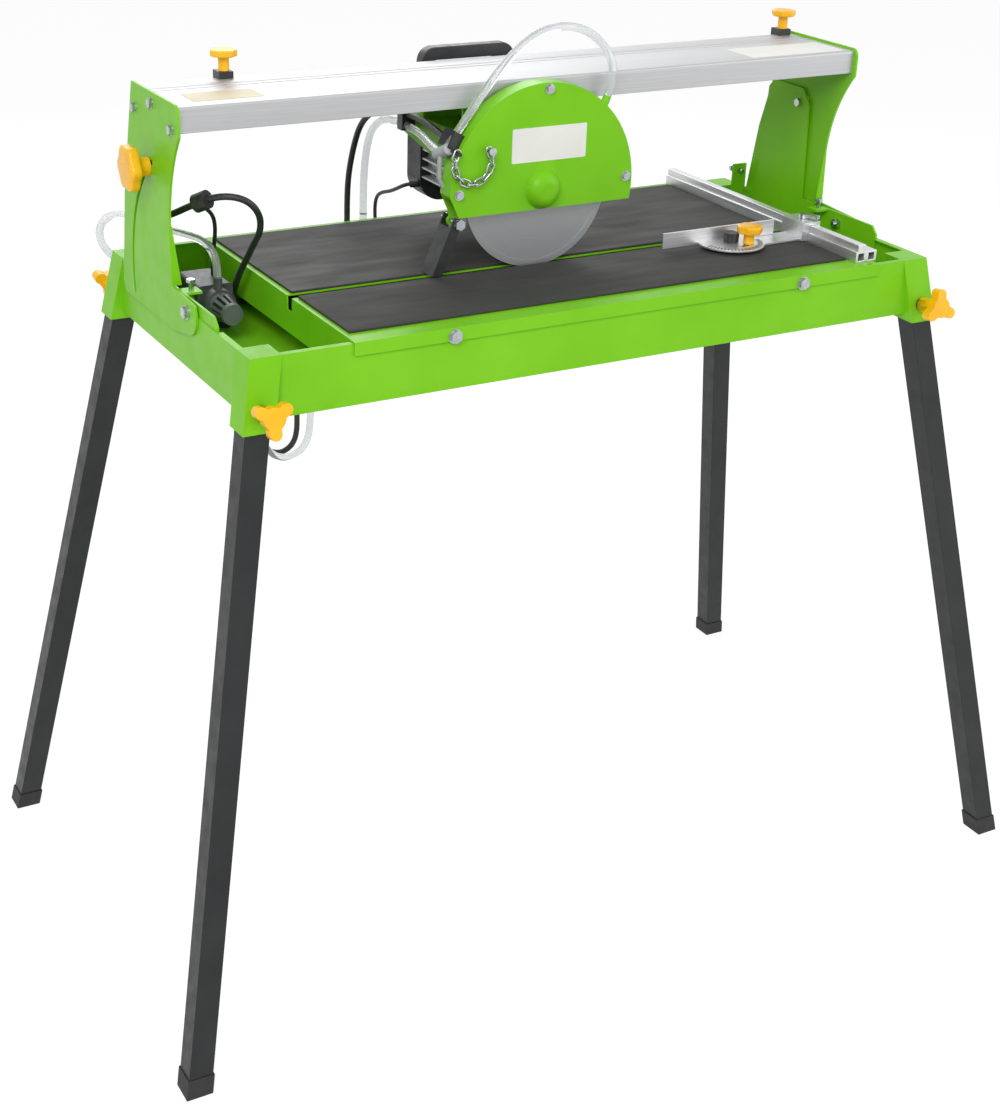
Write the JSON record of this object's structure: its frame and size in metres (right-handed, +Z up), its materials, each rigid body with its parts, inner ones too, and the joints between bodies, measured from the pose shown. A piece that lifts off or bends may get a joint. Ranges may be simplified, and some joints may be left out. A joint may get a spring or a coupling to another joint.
{
  "type": "wet_tile_cutter",
  "caption": "Bridge-type wet tile cutter: a water tray on splayed legs with a slotted table, and a guarded blade and motor that slide under a tilting aluminium rail.",
  "frame": {"origin": "on the floor, in the middle of the four feet", "axes": "+X along the rail to the right, +Y to the back (handle side), +Z up"},
  "size_m": [1.2568, 0.7186, 1.142],
  "materials": {
    "green_paint": "gloss",
    "dark_paint": "satin",
    "black_plastic": "satin",
    "yellow_plastic": "gloss",
    "rubber": "matte",
    "aluminium": "satin",
    "bright_steel": "polished",
    "blade_steel": "brushed",
    "motor_alloy": "cast",
    "iron": "matte",
    "grey_plastic": "satin",
    "clear_hose": "gloss",
    "black_cable": "satin"
  },
  "bodies": {
    "frame": {"water_tray": "green_paint", "leg_sockets": "green_paint", "legs": "dark_paint", "foot_caps": "rubber", "saw_table": "green_paint", "table_mats": "rubber", "fence_rail": "aluminium", "tilt_brackets": "green_paint", "frame_bolts": "bright_steel", "pump_strainer": "grey_plastic", "pump_housing": "grey_plastic", "pump_feet": "rubber", "water_hose": "clear_hose", "power_cable": "black_cable", "motor_lead_root": "black_cable", "pump_lead": "black_cable", "grommets": "rubber", "cable_tie": "black_plastic"},
    "bridge": {"swing_plates": "green_paint", "bridge_rail": "aluminium", "rail_bolts": "bright_steel"},
    "head": {"carriage": "green_paint", "roller_axles": "bright_steel", "motor_housing": "motor_alloy", "motor_end_cover": "black_plastic", "stator": "iron", "bearings": "bright_steel", "guard_shell": "green_paint", "guard_cover": "green_paint", "head_screws": "bright_steel", "guard_chain": "bright_steel", "head_handle": "black_plastic", "hose_clips": "black_plastic", "hose_tee": "black_plastic", "water_hose_rise": "clear_hose", "guard_hose": "clear_hose", "power_cable_rise": "black_cable", "motor_lead": "black_cable"},
    "spindle": {"armature": "bright_steel", "saw_blade": "blade_steel", "blade_clamp": "bright_steel"},
    "rollers_left": {"rollers_left": "black_plastic"},
    "rollers_right": {"rollers_right": "black_plastic"},
    "flap": {"splash_flap": "black_plastic"},
    "trigger": {"switch_lever": "grey_plastic"},
    "stop_left": {"rail_stop_left": "black_plastic"},
    "stop_right": {"rail_stop_right": "black_plastic"},
    "stop_knob_left": {"stop_knob_left": "yellow_plastic"},
    "stop_knob_right": {"stop_knob_right": "yellow_plastic"},
    "tilt_knob_left": {"tilt_knob_left": "yellow_plastic"},
    "tilt_knob_right": {"tilt_knob_right": "yellow_plastic"},
    "gauge": {"gauge_arm": "aluminium"},
    "gauge_fence": {"gauge_fence": "aluminium"},
    "gauge_lock_knob": {"gauge_lock_knob": "yellow_plastic"},
    "gauge_pivot_knob": {"gauge_pivot_knob": "black_plastic"},
    "clamp_lever": {"clamp_lever": "bright_steel"},
    "leg_knob_front_left": {"leg_knob_front_left": "yellow_plastic"},
    "leg_knob_front_right": {"leg_knob_front_right": "yellow_plastic"},
    "leg_knob_back_left": {"leg_knob_back_left": "yellow_plastic"},
    "leg_knob_back_right": {"leg_knob_back_right": "yellow_plastic"}
  },
  "joints": [
    {"name": "tilt", "type": "hinge", "parent": "frame", "child": "bridge", "pos_m": [0, -0.046, 0.847], "axis": [1, 0, 0], "range_deg": [0, 45]},
    {"name": "travel", "type": "slide", "parent": "bridge", "child": "head", "axis": [1, 0, 0], "range_m": [-0.24, 0.22]},
    {"name": "spin", "type": "hinge", "parent": "head", "child": "spindle", "pos_m": [-0.017, -0.046, 0.947], "axis": [0, 1, 0], "continuous": true},
    {"name": "roll_left", "type": "hinge", "parent": "head", "child": "rollers_left", "pos_m": [-0.087, 0.035, 1.0603], "axis": [0, 1, 0], "continuous": true},
    {"name": "roll_right", "type": "hinge", "parent": "head", "child": "rollers_right", "pos_m": [0.053, 0.035, 1.0603], "axis": [0, 1, 0], "continuous": true},
    {"name": "flap_swing", "type": "hinge", "parent": "head", "child": "flap", "pos_m": [-0.131, -0.046, 0.915], "axis": [0, 1, 0], "range_deg": [0, 60]},
    {"name": "trigger_pull", "type": "hinge", "parent": "head", "child": "trigger", "pos_m": [0.023, 0.13, 1.065], "axis": [0, 1, 0], "range_deg": [0, 6], "stiffness_Nm_per_rad": 1},
    {"name": "stop_left_slide", "type": "slide", "parent": "bridge", "child": "stop_left", "axis": [1, 0, 0], "range_m": [-0.08, 0]},
    {"name": "stop_right_slide", "type": "slide", "parent": "bridge", "child": "stop_right", "axis": [1, 0, 0], "range_m": [-0.13, 0]},
    {"name": "stop_knob_left_turn", "type": "hinge", "parent": "stop_left", "child": "stop_knob_left", "pos_m": [-0.363, 0.0975, 1.1], "axis": [0, 0, 1], "continuous": true},
    {"name": "stop_knob_right_turn", "type": "hinge", "parent": "stop_right", "child": "stop_knob_right", "pos_m": [0.452, 0.0975, 1.1], "axis": [0, 0, 1], "continuous": true},
    {"name": "tilt_knob_left_turn", "type": "hinge", "parent": "frame", "child": "tilt_knob_left", "pos_m": [-0.49, 0.06173, 0.98996], "axis": [-1, 0, 0], "continuous": true},
    {"name": "tilt_knob_right_turn", "type": "hinge", "parent": "frame", "child": "tilt_knob_right", "pos_m": [0.49, 0.06173, 0.98996], "axis": [1, 0, 0], "continuous": true},
    {"name": "leg_knob_front_left_turn", "type": "hinge", "parent": "frame", "child": "leg_knob_front_left", "pos_m": [-0.46221, -0.23173, 0.788], "axis": [0, -0.9867, 0.1628], "continuous": true},
    {"name": "leg_knob_front_right_turn", "type": "hinge", "parent": "frame", "child": "leg_knob_front_right", "pos_m": [0.46221, -0.23173, 0.788], "axis": [0, -0.9867, 0.1628], "continuous": true},
    {"name": "leg_knob_back_left_turn", "type": "hinge", "parent": "frame", "child": "leg_knob_back_left", "pos_m": [-0.46221, 0.23173, 0.788], "axis": [0, 0.9867, 0.1628], "continuous": true},
    {"name": "leg_knob_back_right_turn", "type": "hinge", "parent": "frame", "child": "leg_knob_back_right", "pos_m": [0.46221, 0.23173, 0.788], "axis": [0, 0.9867, 0.1628], "continuous": true},
    {"name": "gauge_slide", "type": "slide", "parent": "frame", "child": "gauge", "axis": [0, -1, 0], "range_m": [0, 0.07]},
    {"name": "gauge_swing", "type": "hinge", "parent": "gauge", "child": "gauge_fence", "pos_m": [0.254, -0.09, 0.857], "axis": [0, 0, 1], "range_deg": [-15, 40]},
    {"name": "gauge_lock_turn", "type": "hinge", "parent": "gauge", "child": "gauge_lock_knob", "pos_m": [0.27026, -0.10626, 0.86], "axis": [0, 0, 1], "continuous": true},
    {"name": "gauge_pivot_turn", "type": "hinge", "parent": "gauge", "child": "gauge_pivot_knob", "pos_m": [0.254, -0.09, 0.86], "axis": [0, 0, 1], "continuous": true},
    {"name": "clamp_lever_turn", "type": "hinge", "parent": "gauge", "child": "clamp_lever", "pos_m": [0.37, -0.09, 0.88], "axis": [0, 0, 1], "range_deg": [-60, 60]}
  ],
  "couplings": [
    {"joint": "roll_left", "follows": "travel", "rad_per_m": 100},
    {"joint": "roll_right", "follows": "travel", "rad_per_m": 100},
    {"joint": "flap_swing", "follows": "tilt", "ratio": 1.3333}
  ]
}
